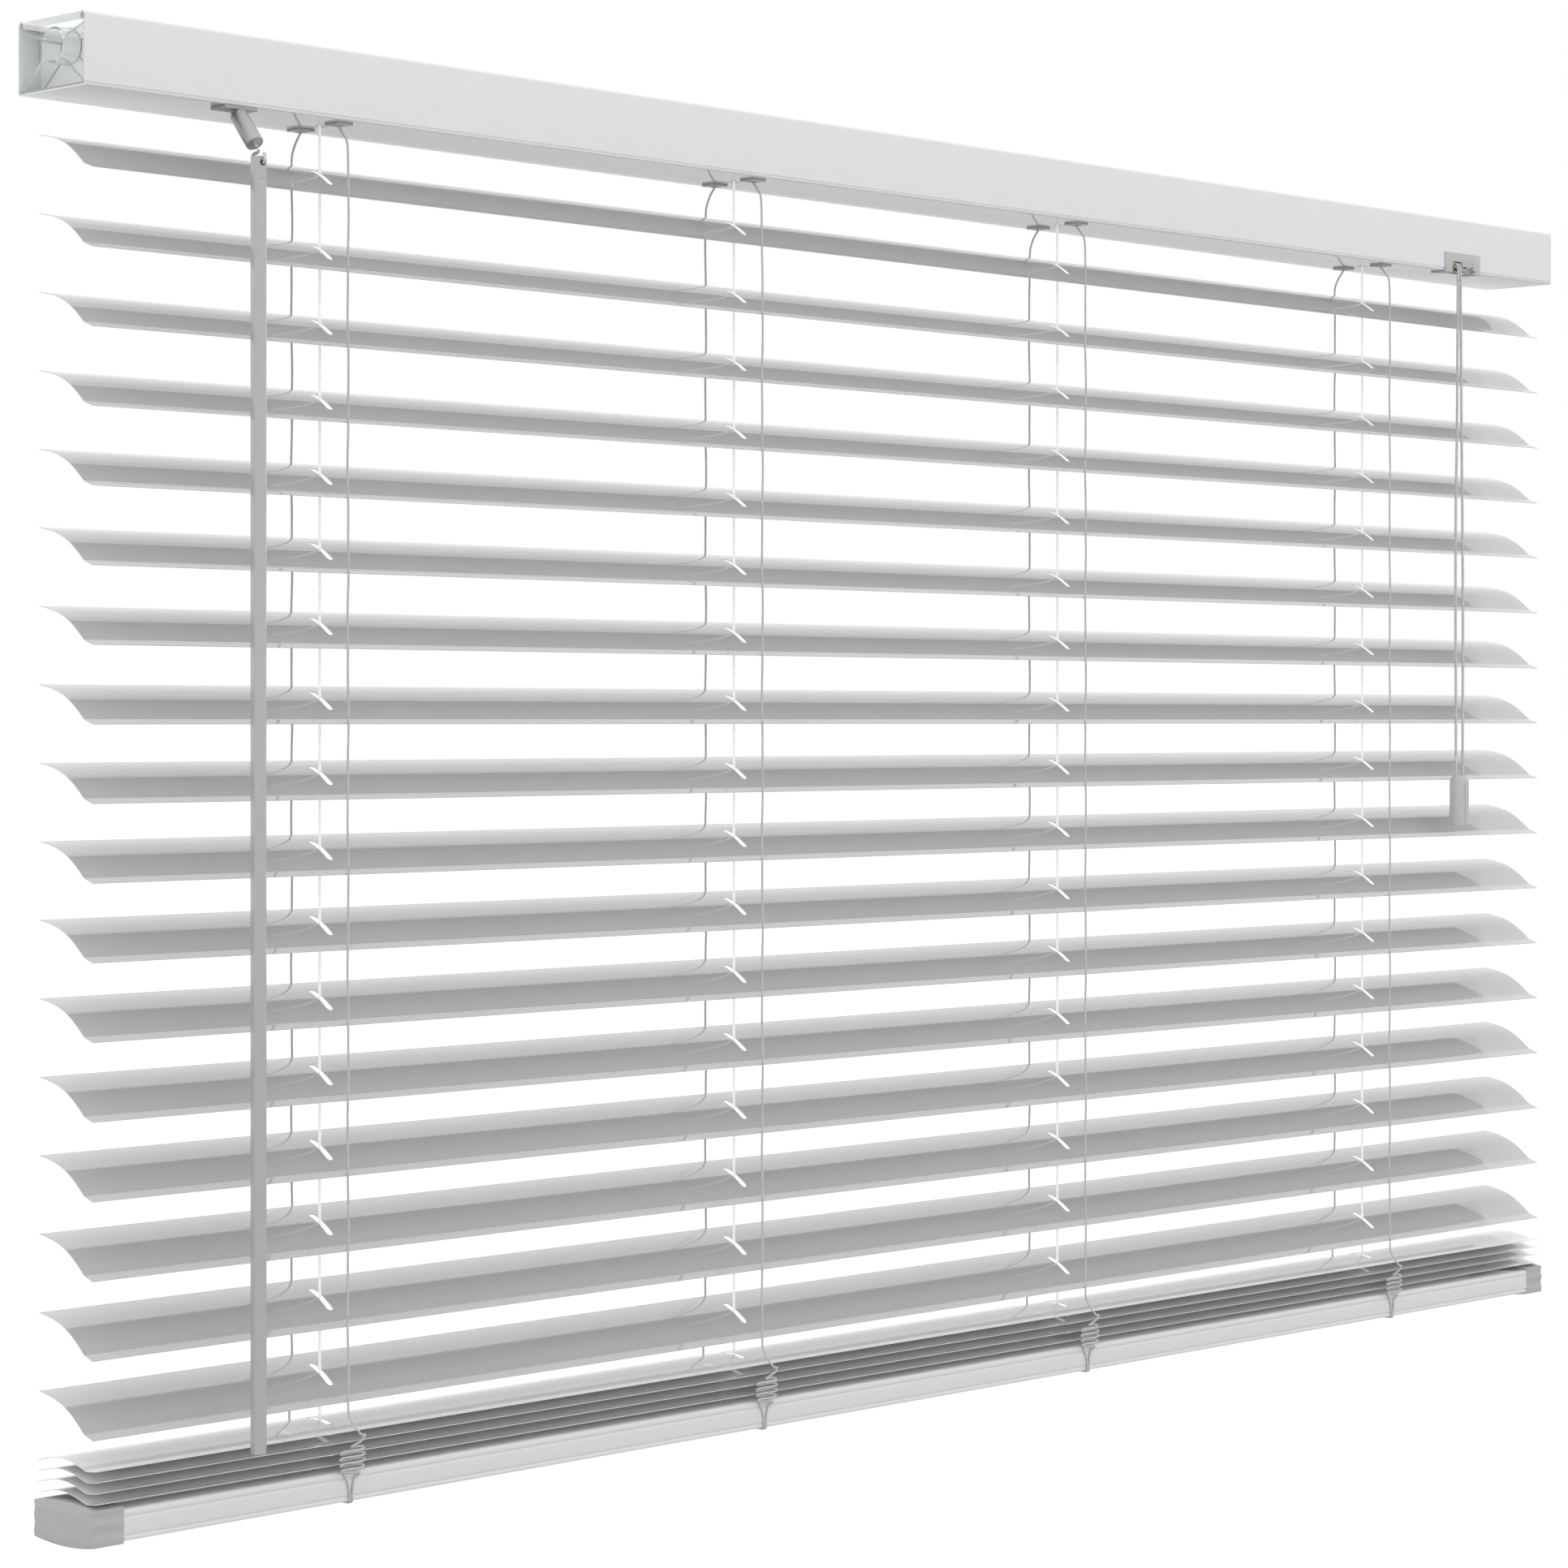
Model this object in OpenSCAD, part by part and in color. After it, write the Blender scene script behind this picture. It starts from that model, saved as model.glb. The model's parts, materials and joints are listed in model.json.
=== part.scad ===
// Venetian blind: an open-topped head rail with its tilter, drums and cord lock,
// open slats on ladder cords, a short stack of spare slats and a weighted bottom rail.
// X runs along the blind, +Y towards the wall, +Z up.
// The origin is the middle of the head rail's back face.

/* [Head rail] */
// Length of the head rail
rail_w = 1320; // [1280:10:1400]
// Depth of the head rail, front to back
rail_d = 57; // [57:1:60]
// Height of the head rail
rail_h = 38; // [38:1:38]
// Thickness of the rail's sheet metal
rail_t = 0.8; // [0.6:0.1:0.8]
// Width of the rolled hem on each top edge
hem_w = 5; // [4:0.5:6]
// Depth of the rolled hem
hem_h = 4; // [3:0.5:5]

/* [Slats] */
// Width of a slat, edge to edge
slat_chord = 50; // [50:1:50]
// Thickness of a slat
slat_t = 0.3; // [0.2:0.05:0.4]
// Height of the slat's main crown
slat_crown = 3.9; // [3:0.1:4]
// Depth of the dip behind the front edge
slat_dip = 1.0; // [0.5:0.1:1]
// Width of the dipped front strip
slat_lip = 10.5; // [8:0.5:12]
// Distance between open slats
slat_pitch = 40.4; // [40:0.1:42]
// Tilt of the open slats, front edge down
slat_tilt = 24; // [0:1:40]
// How far a slat stops short of the rail at each end
slat_inset = 9; // [6:1:12]
// First slat's axis below the head rail
first_drop = 29.7; // [28:0.1:34]
// Distance between the spare slats in the stack
stack_pitch = 5.6; // [5.2:0.1:6]
// Stack's first slat below the last open slat
stack_drop = 25.6; // [25.6:0.1:30]

/* [Route slots] */
// Length of a cord slot along the slat's width
slot_len = 20; // [16:1:22]
// Width of a cord slot
slot_w = 4; // [3.5:0.5:6]

/* [Bottom rail] */
// Height of the bottom rail
base_h = 16.5; // [16:0.5:17]
// Wall of the bottom rail
base_t = 1; // [0.8:0.1:1.5]
// Length of each end cap
cap_len = 20; // [16:1:24]
// Height of an end cap's sides
cap_h = 19; // [19:0.5:20]

/* [Cords] */
// Diameter of a lift cord
lift_d = 1.8; // [1.4:0.1:2]
// Diameter of a ladder cord
ladder_d = 1.4; // [1:0.1:1.4]
// Diameter of a pull cord
pull_d = 2.35; // [2:0.05:2.4]
// Drop from the head rail to the tassel
pull_drop = 360; // [200:10:600]

/* [Wand] */
// Length of the tilt wand
wand_len = 674; // [400:1:690]
// Width of the wand's square bar
wand_w = 7; // [6:0.5:7]
// Lean of the tilter's stem from vertical
stem_lean = 40; // [40:1:40]

/* [Hidden] */
$fn = 32;
SLAT_COUNT = 17;
STACK_COUNT = 4;
HALF = rail_w / 2;
BOTTOM = -rail_h / 2;
TOP = rail_h / 2;
MID_Y = -rail_d / 2;
STATIONS = [for (share = [0.133, 0.374, 0.6, 0.8525]) round(rail_w * share) - HALF];
SLAT_HALF = HALF - slat_inset;
BASE_HALF = HALF - 7;
TIP_Y = slat_chord / 2 * cos(slat_tilt);
TIP_Z = slat_chord / 2 * sin(slat_tilt);
ladder_gap = 0.96;
cord_join = 0.4;

// Heights of the slats and of the bottom rail
function slat_z(k) = BOTTOM - first_drop - slat_pitch * (k - 1);
function stack_z(k) = slat_z(SLAT_COUNT) - stack_drop - stack_pitch * (k - 1);
cap_top = stack_z(STACK_COUNT) - 3;
base_top = cap_top - (cap_h - base_h) / 2;
base_bottom = base_top - base_h;

// Tilt rod, drums and tilter
rod_z = BOTTOM + 13;
rod_w = 5;
drum_r = 9;
hub_r = 4;
tilter_x = -HALF + 100;
stem_y = -50.6;
wand_y = -71;
joint_t = (stem_y - wand_y) / sin(stem_lean);
joint_z = BOTTOM - joint_t * cos(stem_lean);
wand_top = joint_z - 3.5;
wand_hole_z = wand_top - 3.4;
wand_turn = -12;
wire_r = 0.9;
WHEEL_TEETH = 15;
wheel_r = 4.9;

// Cord lock
lock_x = HALF - 113.6;
lock_w = 43;
lock_top = BOTTOM + 13.3;
window_w = 25;
window_top = BOTTOM + 7.1;
roller_y = -55.1;
roller_z = BOTTOM + 1.8;
roller_r = 2.8;
pull_gap = 0.1;
turn_r = roller_r + pull_d / 2 + pull_gap;
pull_y = roller_y - turn_r;
pull_x = lock_x - 6.6;
pawl_y = -44.5;
pawl_z = BOTTOM + 4.5;
tassel_top = BOTTOM - pull_drop;

function two(k) = k < 10 ? str("0", k) : str(k);
function slat_name(k) = str("slat_", two(k));
function bay_name(k) = str("lift_bay_", two(k));

// ---- helpers ----

// A Y-Z outline stretched along X
module along_x(x0, x1) {
    translate([x0, 0, 0]) rotate([90, 0, 90]) linear_extrude(x1 - x0) children();
}

module block(low, high) {
    translate(low) cube(high - low);
}

// A round bar between two points
module bar(a, b, r) {
    v = b - a;
    len = norm(v);
    translate(a) rotate([0, acos(v[2] / len), atan2(v[1], v[0])]) cylinder(h = len, r = r);
}

// A bent wire in a Y-Z plane, with balls at its bends
module wire(points, r) {
    for (i = [0:len(points) - 2]) bar(points[i], points[i + 1], r);
    for (i = [1:len(points) - 2]) translate(points[i]) sphere(r);
}

function unit(v) = v / norm(v);
function route_dir(p, i) = unit(p[min(i + 1, len(p) - 1)] - p[max(i - 1, 0)]);

// One ring of a swept tube, square to the route at point i; side is a vector that the route never follows
function ring(p, i, r, sides, side) = let (d = route_dir(p, i), u = unit(cross(d, side)), v = cross(d, u))
    [for (j = [0:sides - 1]) p[i] + r * (u * cos(360 * j / sides) + v * sin(360 * j / sides))];

// A cord: one closed tube swept along a route
module cord(route, r, side = [1, 1, 1], sides = 8) {
    n = len(route);
    points = [for (i = [0:n - 1]) each ring(route, i, r, sides, side)];
    walls = [for (i = [0:n - 2]) for (j = [0:sides - 1]) let (k = (j + 1) % sides)
        [i * sides + j, (i + 1) * sides + j, (i + 1) * sides + k, i * sides + k]];
    polyhedron(points, concat(walls,
        [[for (j = [0:sides - 1]) j], [for (j = [sides - 1:-1:0]) (n - 1) * sides + j]]));
}

// Frame at the place where the stem leaves the rail, with +Z going up the stem
module on_stem() {
    translate([tilter_x, stem_y, BOTTOM]) rotate([-stem_lean, 0, 0]) children();
}

// ---- head rail ----

module rail_outline() {
    difference() {
        translate([-rail_d, BOTTOM]) square([rail_d, rail_h]);
        translate([-rail_d + rail_t, BOTTOM + rail_t]) square([rail_d - 2 * rail_t, rail_h]);
    }
    for (y = [-rail_d, -hem_w]) translate([y, TOP - rail_t]) square([hem_w, rail_t]);
    for (y = [-rail_d + hem_w - rail_t, -hem_w]) translate([y, TOP - hem_h]) square([rail_t, hem_h]);
}

module head_rail() {
    color("gainsboro") difference() {
        along_x(-HALF, HALF) rail_outline();
        for (x = STATIONS) {
            for (y = [MID_Y - 16, MID_Y + 16])
                block([x - 4.7, y - 4.7, BOTTOM - 1], [x + 4.7, y + 4.7, BOTTOM + 2]);
            block([x - 4, MID_Y - 3, BOTTOM - 1], [x + 4, MID_Y + 3, BOTTOM + 2]);
        }
        block([tilter_x - 6, -55.5, BOTTOM - 1], [tilter_x + 6, -45, BOTTOM + 2]);
        block([lock_x - lock_w / 2 + 2, -rail_d - 1, BOTTOM - 1],
              [lock_x + lock_w / 2 - 2, -46, lock_top - 1]);
    }
}

// A clear plug: rim, recessed plate, one hollow boss and four ribs
module end_cap(side) {
    gap = 0.15;
    y0 = -rail_d + rail_t + gap;
    y1 = -rail_t - gap;
    z0 = BOTTOM + rail_t + gap;
    z1 = TOP - hem_h - gap;
    depth = 13.5;
    wall = 1.4;
    boss_r = 9.3;
    boss_z = 4.5;
    color("lightcyan") mirror([side < 0 ? 1 : 0, 0, 0]) difference() {
        union() {
            difference() {
                block([HALF - depth, y0, z0], [HALF - 0.3, y1, z1]);
                block([HALF - depth + wall, y0 + wall, z0 + wall], [HALF, y1 - wall, z1 - wall]);
            }
            intersection() {
                block([HALF - depth, y0, z0], [HALF - 1, y1, z1]);
                for (turn = [-39, 21, 159, 219])
                    translate([HALF - depth, MID_Y, boss_z]) rotate([turn, 0, 0])
                        translate([0, 0, -wall / 2]) cube([depth, 40, wall]);
            }
            translate([HALF - depth, MID_Y, boss_z]) rotate([0, 90, 0])
                cylinder(h = depth - 1.5, r = boss_r);
        }
        translate([HALF - depth + wall, MID_Y, boss_z]) rotate([0, 90, 0])
            cylinder(h = depth, r = boss_r - wall);
    }
}

module end_cap_left() end_cap(-1);
module end_cap_right() end_cap(1);

// One open-topped cradle under each drum
module drum_cradles() {
    floor_z = BOTTOM + rail_t + 0.1;
    color("white") for (x = STATIONS) translate([x, MID_Y, 0]) difference() {
        union() {
            block([-16, -9.5, floor_z], [16, 9.5, floor_z + 1.4]);
            for (s = [-1, 1]) translate([s * 12.2 - 1.1, -8, floor_z]) cube([2.2, 16, 15]);
        }
        translate([-20, 0, rod_z]) rotate([0, 90, 0]) cylinder(h = 40, r = hub_r + 0.1);
        block([-20, -hub_r - 0.1, rod_z], [20, hub_r + 0.1, rod_z + 20]);
        block([-3.5, -10, floor_z - 1], [9, 3, floor_z + 2]);
    }
}

module cord_bushings() {
    color("lightcyan") for (x = STATIONS) for (y = [MID_Y - 16, MID_Y + 16]) difference() {
        union() {
            block([x - 5.5, y - 5.5, BOTTOM - 1.3], [x + 5.5, y + 5.5, BOTTOM - 0.05]);
            block([x - 4.5, y - 4.5, BOTTOM - 1], [x + 4.5, y + 4.5, BOTTOM + 2.2]);
        }
        block([x - 3, y - 3, BOTTOM - 2], [x + 3, y + 3, BOTTOM + 3]);
    }
}

// ---- tilter ----

module tilter_housing() {
    low = [tilter_x - 15, -55.9, BOTTOM + rail_t + 0.1];
    high = [tilter_x + 15, -14, 12];
    wall = [1.5, 1.5, 1.5];
    color("whitesmoke") difference() {
        union() {
            block(low, high);
            block([tilter_x - 4.8, -55.2, BOTTOM - 1], [tilter_x + 4.8, -45.2, BOTTOM + 3]);
            block([tilter_x - 10.5, -57, BOTTOM - 2], [tilter_x + 10.5, -44.4, BOTTOM - 0.1]);
        }
        block(low + wall, high - wall + [0, 0, 5]);
        on_stem() translate([0, 0, -12]) cylinder(h = 30, r = 3.5);
        translate([tilter_x - 20, MID_Y, rod_z]) rotate([0, 90, 0]) cylinder(h = 40, r = 4.4);
    }
}

module tilt_rod() {
    color("silver") translate([tilter_x - 13, MID_Y - rod_w / 2, rod_z - rod_w / 2])
        cube([STATIONS[3] + 30 - tilter_x, rod_w, rod_w]);
}

module rod_bore() {
    cube([rod_w + 0.1, rod_w + 0.1, 80], center = true);
}

module ladder_drums() {
    color("white") for (x = STATIONS) translate([x, MID_Y, rod_z]) rotate([0, 90, 0]) difference() {
        union() {
            translate([0, 0, -15.5]) cylinder(h = 31, r = hub_r);
            translate([0, 0, -9.5]) cylinder(h = 19, r = drum_r - 1);
            for (z = [-9.5, 8]) translate([0, 0, z]) cylinder(h = 1.5, r = drum_r);
        }
        rod_bore();
    }
}

function tooth(i, root, tip) = let (step = 360 / WHEEL_TEETH)
    [for (p = [[root, -0.25], [tip, -0.15], [tip, 0.15], [root, 0.25]])
        p[0] * [cos(step * (i + p[1])), sin(step * (i + p[1]))]];

module worm_wheel() {
    color("ivory") translate([tilter_x, MID_Y, rod_z]) rotate([0, 90, 0]) difference() {
        union() {
            translate([0, 0, -3]) linear_extrude(6)
                polygon([for (i = [0:WHEEL_TEETH - 1]) each tooth(i, wheel_r - 0.8, wheel_r)]);
            translate([0, 0, -12]) cylinder(h = 24, r = hub_r);
        }
        rod_bore();
    }
}

// Plastic worm and stem in one piece, with the thread as rings
module worm_stem() {
    color("ivory") on_stem() {
        translate([0, 0, -25.5]) cylinder(h = 42.5, r = 3.25);
        translate([0, 0, 17]) cylinder(h = 15, r = 2.6);
        for (i = [0:5]) translate([0, 0, 18.2 + 2.3 * i]) cylinder(h = 1.1, r = 3.4);
    }
}

// Metal sleeve crimped on the stem, closed below, with the pin that carries the hook
module wand_sleeve() {
    color("silver") on_stem() {
        difference() {
            translate([0, 0, -27.2]) cylinder(h = 21.1, r = 4.75);
            translate([0, 0, -25.7]) cylinder(h = 23.6, r = 3.3);
        }
        translate([0, 0, -joint_t + 1.6]) cylinder(h = joint_t - 28.1, r = 1);
    }
}

// Wire hook: an eye on the pin, then down behind the bar, through it and up in front
module wand_hook() {
    reach = 5.1;
    arm_z = joint_z - 1.8;
    color("silver") translate([tilter_x, wand_y, 0]) {
        translate([0, 0, joint_z]) sphere(1);
        wire([[0, 0, joint_z], [0, 0, arm_z], [0, reach, arm_z], [0, reach, wand_hole_z],
              [0, -reach, wand_hole_z], [0, -reach, arm_z - 0.5]], wire_r);
        translate([0, -reach, arm_z - 0.5]) sphere(wire_r);
    }
}

module wand() {
    h = wand_w / 2;
    c = 1.2;
    color([0.85, 0.87, 0.88]) translate([tilter_x, wand_y, wand_top - wand_len]) difference() {
        rotate([0, 0, wand_turn]) linear_extrude(wand_len)
            polygon([[h, c - h], [h, h - c], [h - c, h], [c - h, h],
                     [-h, h - c], [-h, c - h], [c - h, -h], [h - c, -h]]);
        translate([0, 10, wand_len - 3.4]) rotate([90, 0, 0]) cylinder(h = 20, r = 1.5);
    }
}

// ---- cord lock ----

module cord_lock_body() {
    x0 = lock_x - lock_w / 2;
    x1 = lock_x + lock_w / 2;
    color("whitesmoke") difference() {
        union() {
            block([x0 + 2.3, -57.5, BOTTOM - 0.5], [x1 - 2.3, -46.3, lock_top - 1.3]);
            block([x0 + 2.3, -55.9, BOTTOM + 1], [x1 - 2.3, -38, lock_top]);
            block([x0, -58, BOTTOM - 1], [x1, -57.1, lock_top]);
            block([x0, -58, BOTTOM - 1], [x1, -45, BOTTOM - 0.1]);
        }
        block([lock_x - window_w / 2, -60, BOTTOM - 2],
              [lock_x + window_w / 2, -41.5, window_top]);
        block([lock_x - window_w / 2, -56.2, BOTTOM - 2],
              [lock_x + window_w / 2, -41.5, BOTTOM + 10]);
    }
}

module lock_roller() {
    color("goldenrod") translate([lock_x - 11.5, roller_y, roller_z]) rotate([0, 90, 0])
        cylinder(h = 23, r = roller_r);
}

// Pivot bar with a toothed blade that pinches the cords
module lock_pawl() {
    blade = 6.2;
    color("silver") translate([lock_x - 11.5, pawl_y, pawl_z]) {
        rotate([0, 90, 0]) cylinder(h = 23, r = 1.4);
        rotate([35, 0, 0]) {
            translate([1, -blade + 1, -0.8]) cube([21, blade - 1, 1.6]);
            for (i = [0:5]) translate([2 + 3.3 * i, -blade, -0.8]) cube([1.6, 2, 1.6]);
        }
    }
}

// ---- slats ----

function slat_rise(s) = s < slat_lip
    ? -slat_dip * sin(180 * s / slat_lip)
    : slat_crown * sin(180 * (s - slat_lip) / (slat_chord - slat_lip));

module slat_outline() {
    spots = concat([for (i = [0:3]) slat_lip * i / 4],
                   [for (i = [0:10]) slat_lip + (slat_chord - slat_lip) * i / 10]);
    n = len(spots);
    h = slat_chord / 2;
    polygon(concat(
        [for (i = [0:n - 1]) [spots[i] - h, slat_rise(spots[i]) - slat_t / 2]],
        [for (i = [n - 1:-1:0]) [spots[i] - h, slat_rise(spots[i]) + slat_t / 2]]));
}

module route_slot() {
    half = (slot_len - slot_w) / 2;
    for (y = [-half, half]) translate([0, y, -5]) cylinder(h = 14, r = slot_w / 2);
    translate([-slot_w / 2, -half, -5]) cube([slot_w, 2 * half, 14]);
}

// One slat about its own axis
module bare_slat(tilt) {
    rotate([tilt, 0, 0]) difference() {
        along_x(-SLAT_HALF, SLAT_HALF) slat_outline();
        for (x = STATIONS) translate([x, 0, 0]) route_slot();
    }
}

module open_slat(k) {
    color("lightgray") translate([0, MID_Y, slat_z(k)]) bare_slat(slat_tilt);
}

module stacked_slats() {
    color("lightgray") for (k = [1:STACK_COUNT]) translate([0, MID_Y, stack_z(k)]) bare_slat(0);
}

// ---- bottom rail ----

module base_outline() {
    h = rail_d / 2 - 3.5;
    groove = 0.7;
    difference() {
        polygon([[-h, base_bottom], [h, base_bottom], [h, base_top], [-h, base_top],
                 [-h, base_top - 2.2], [-h + groove, base_top - 2.5],
                 [-h + groove, base_top - 3.3], [-h, base_top - 3.6]]);
        polygon([[-h + base_t + groove, base_bottom + base_t], [h - base_t, base_bottom + base_t],
                 [h - base_t, base_top - base_t], [-h + base_t + groove, base_top - base_t]]);
    }
}

module bottom_rail() {
    color("gainsboro") difference() {
        translate([0, MID_Y, 0]) along_x(-BASE_HALF + 6, BASE_HALF - 6) base_outline();
        for (x = STATIONS) translate([x, MID_Y, base_bottom - 1]) cylinder(h = 30, r = 3.6);
    }
}

// Crowned top and bottom, slightly waisted sides
module cap_outline() {
    half = 25.5;
    steps = 10;
    waist = 0.8;
    top = [for (i = [0:steps]) let (u = 1 - 2 * i / steps)
        [half * u, cap_top + 2.3 * (1 - u * u)]];
    left = [for (i = [1:5]) [-half + waist * sin(30 * i), cap_top - cap_h * i / 6]];
    bottom = [for (i = [0:steps]) let (u = 2 * i / steps - 1)
        [half * u, cap_top - cap_h - 2 * (1 - u * u)]];
    right = [for (i = [5:-1:1]) [half - waist * sin(30 * i), cap_top - cap_h * i / 6]];
    polygon(concat(top, left, bottom, right));
}

module bottom_cap(side) {
    h = rail_d / 2 - 3.3;
    color("lightgray") mirror([side < 0 ? 1 : 0, 0, 0]) translate([0, MID_Y, 0]) difference() {
        along_x(BASE_HALF - cap_len, BASE_HALF) cap_outline();
        block([BASE_HALF - cap_len - 1, -h, base_bottom - 0.2], [BASE_HALF - 5.8, h, base_top + 0.2]);
    }
}

module bottom_cap_left() bottom_cap(-1);
module bottom_cap_right() bottom_cap(1);

module bottom_plugs() {
    color("whitesmoke") for (x = STATIONS) translate([x, MID_Y, base_bottom]) {
        translate([0, 0, -2.1]) cylinder(h = 2, r = 5.5);
        translate([0, 0, -1]) cylinder(h = 4, r = 3.4);
    }
}

// ---- lift cords ----

// From the lock along the rail, then down through the first slat at each station
module lift_cords_upper() {
    lanes = [[-53.5, -13.5], [-53.5, -10.5], [-50.5, -10.5], [-50.5, -13.5]];
    color("white") for (i = [0:3]) {
        x = STATIONS[i];
        lane = lanes[i];
        cord([[lock_x - lock_w / 2 + 2, lane[0], lane[1]], [x + 14, lane[0], lane[1]],
              [x + 10.5, -48, -14.5], [x + 7, -40, -16.3], [x + 2.5, MID_Y - 3, BOTTOM + 2],
              [x, MID_Y, BOTTOM + 0.3], [x, MID_Y, BOTTOM - 3], [x, MID_Y, slat_z(1) - 1]], lift_d / 2);
    }
}

// The four cords in the gap above slat k
module lift_bay(k) {
    top = slat_z(k - 1) - 1 - cord_join;
    color("white") for (x = STATIONS)
        translate([x, MID_Y, slat_z(k) - 1]) cylinder(h = top - slat_z(k) + 1, r = lift_d / 2);
}

// ---- ladder cords ----

module ladder_side(side) {
    top = slat_z(1) + side * TIP_Z;
    color("silver") for (x = STATIONS)
        translate([x, MID_Y + side * (TIP_Y + ladder_gap), top - slat_pitch * (SLAT_COUNT - 1)])
            cylinder(h = slat_pitch * (SLAT_COUNT - 1), r = ladder_d / 2);
}

module ladder_fronts() ladder_side(-1);
module ladder_rears() ladder_side(1);

// From the drums out through the bushings to the first slat's edges
module ladder_tops() {
    color("silver") for (x = STATIONS) for (s = [-1, 1])
        cord([[x, MID_Y + s * (drum_r + ladder_d), rod_z], [x, MID_Y + s * 16, BOTTOM - 1],
              [x, MID_Y + s * (TIP_Y + ladder_gap), slat_z(1) + s * TIP_Z + cord_join]],
             ladder_d / 2, [1, 0, 0]);
}

// The last bay of the lift cords and the ladder cords' ends down the bottom rail
module cord_tails() {
    lift_top = slat_z(SLAT_COUNT - 1) - 1 - cord_join;
    color("silver") for (x = STATIONS) {
        translate([x, MID_Y, base_top - 3]) cylinder(h = lift_top - base_top + 3, r = lift_d / 2);
        for (s = [-1, 1]) {
            y = MID_Y + s * (TIP_Y + ladder_gap);
            out = MID_Y + s * 26.2;
            z = slat_z(SLAT_COUNT) + s * TIP_Z - cord_join;
            cord([[x, y, z], [x, out, z - 5 * (s + 1.4)], [x, out, base_bottom - 1]], ladder_d / 2, [1, 0, 0]);
        }
    }
}

// ---- pull cords ----

// Hand-picked route over the roller and straight down, as [y, z]
PULL_ROUTE = concat([[-49, roller_z + turn_r], [-52, roller_z + turn_r]],
    [for (a = [0:22.5:90]) [roller_y - turn_r * sin(a), roller_z + turn_r * cos(a)]],
    [for (i = [1:28]) [pull_y, roller_z + (tassel_top + 0.1 - roller_z) * i / 28]]);

module pull_cords() {
    color("white") for (dx = [-1.4, 1.4])
        cord([for (p = PULL_ROUTE) [pull_x + dx, p[0], p[1]]], pull_d / 2, [1, 0, 0]);
}

// Block with rounded edges and a narrower neck that takes both cords
module tassel() {
    corner = 4;
    half_x = 8.7;
    half_y = 5;
    neck = 3.4;
    color("white") translate([pull_x, pull_y, tassel_top]) {
        translate([0, 0, -36]) for (x = [-1, 1]) for (y = [-1, 1])
            translate([x * (half_x - corner), y * (half_y - corner), 0]) cylinder(h = 32, r = corner);
        block([-half_x, corner - half_y, -36], [half_x, half_y - corner, -4]);
        block([corner - half_x, -half_y, -36], [half_x - corner, half_y, -4]);
        for (x = [-3.4, 3.4]) translate([x, 0, -4.5]) cylinder(h = 4.5, r = neck);
        block([-3.4, -neck, -4.5], [3.4, neck, 0]);
    }
}

head_rail();
end_cap_left();
end_cap_right();
drum_cradles();
cord_bushings();
tilter_housing();
cord_lock_body();
lift_cords_upper();
tilt_rod();
ladder_drums();
worm_wheel();
worm_stem();
wand_sleeve();
wand_hook();
wand();
lock_roller();
lock_pawl();
for (k = [1:SLAT_COUNT])
    open_slat(k);
stacked_slats();
bottom_rail();
bottom_cap_left();
bottom_cap_right();
bottom_plugs();
for (k = [2:SLAT_COUNT - 1])
    lift_bay(k);
ladder_fronts();
ladder_rears();
ladder_tops();
cord_tails();
pull_cords();
tassel();
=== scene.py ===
import json
import math

import bmesh
import bpy
from mathutils import Matrix, Vector

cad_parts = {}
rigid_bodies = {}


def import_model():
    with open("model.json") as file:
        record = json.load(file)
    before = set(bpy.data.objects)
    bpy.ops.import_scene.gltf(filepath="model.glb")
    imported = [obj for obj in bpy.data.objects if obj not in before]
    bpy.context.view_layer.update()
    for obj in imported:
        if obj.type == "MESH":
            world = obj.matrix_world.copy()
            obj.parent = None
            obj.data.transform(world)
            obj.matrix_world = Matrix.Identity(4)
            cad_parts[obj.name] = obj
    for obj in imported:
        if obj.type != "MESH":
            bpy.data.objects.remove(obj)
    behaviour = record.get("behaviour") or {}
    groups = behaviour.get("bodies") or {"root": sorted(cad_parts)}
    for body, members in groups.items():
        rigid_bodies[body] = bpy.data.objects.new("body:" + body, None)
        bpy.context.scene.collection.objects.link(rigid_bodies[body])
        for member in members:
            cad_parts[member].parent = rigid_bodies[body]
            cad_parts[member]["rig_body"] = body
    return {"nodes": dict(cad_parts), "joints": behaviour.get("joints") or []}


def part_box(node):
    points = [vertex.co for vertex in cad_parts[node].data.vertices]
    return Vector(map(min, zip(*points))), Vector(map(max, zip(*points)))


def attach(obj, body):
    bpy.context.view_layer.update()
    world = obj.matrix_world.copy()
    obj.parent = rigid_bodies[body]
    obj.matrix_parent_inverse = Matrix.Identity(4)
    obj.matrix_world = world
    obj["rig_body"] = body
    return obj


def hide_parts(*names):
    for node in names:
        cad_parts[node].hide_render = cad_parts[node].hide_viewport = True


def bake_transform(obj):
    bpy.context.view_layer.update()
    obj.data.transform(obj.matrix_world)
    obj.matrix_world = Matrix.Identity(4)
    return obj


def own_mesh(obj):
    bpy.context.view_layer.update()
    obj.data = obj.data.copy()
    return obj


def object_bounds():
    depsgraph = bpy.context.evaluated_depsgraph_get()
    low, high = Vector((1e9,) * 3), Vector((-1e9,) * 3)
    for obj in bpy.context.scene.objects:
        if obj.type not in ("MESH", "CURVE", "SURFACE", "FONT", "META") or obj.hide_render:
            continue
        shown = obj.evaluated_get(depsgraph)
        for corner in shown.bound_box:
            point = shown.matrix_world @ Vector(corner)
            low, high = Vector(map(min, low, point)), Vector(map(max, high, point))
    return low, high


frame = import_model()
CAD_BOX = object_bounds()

MM = 0.001

# ---- sizes, from the frame ----

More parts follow.
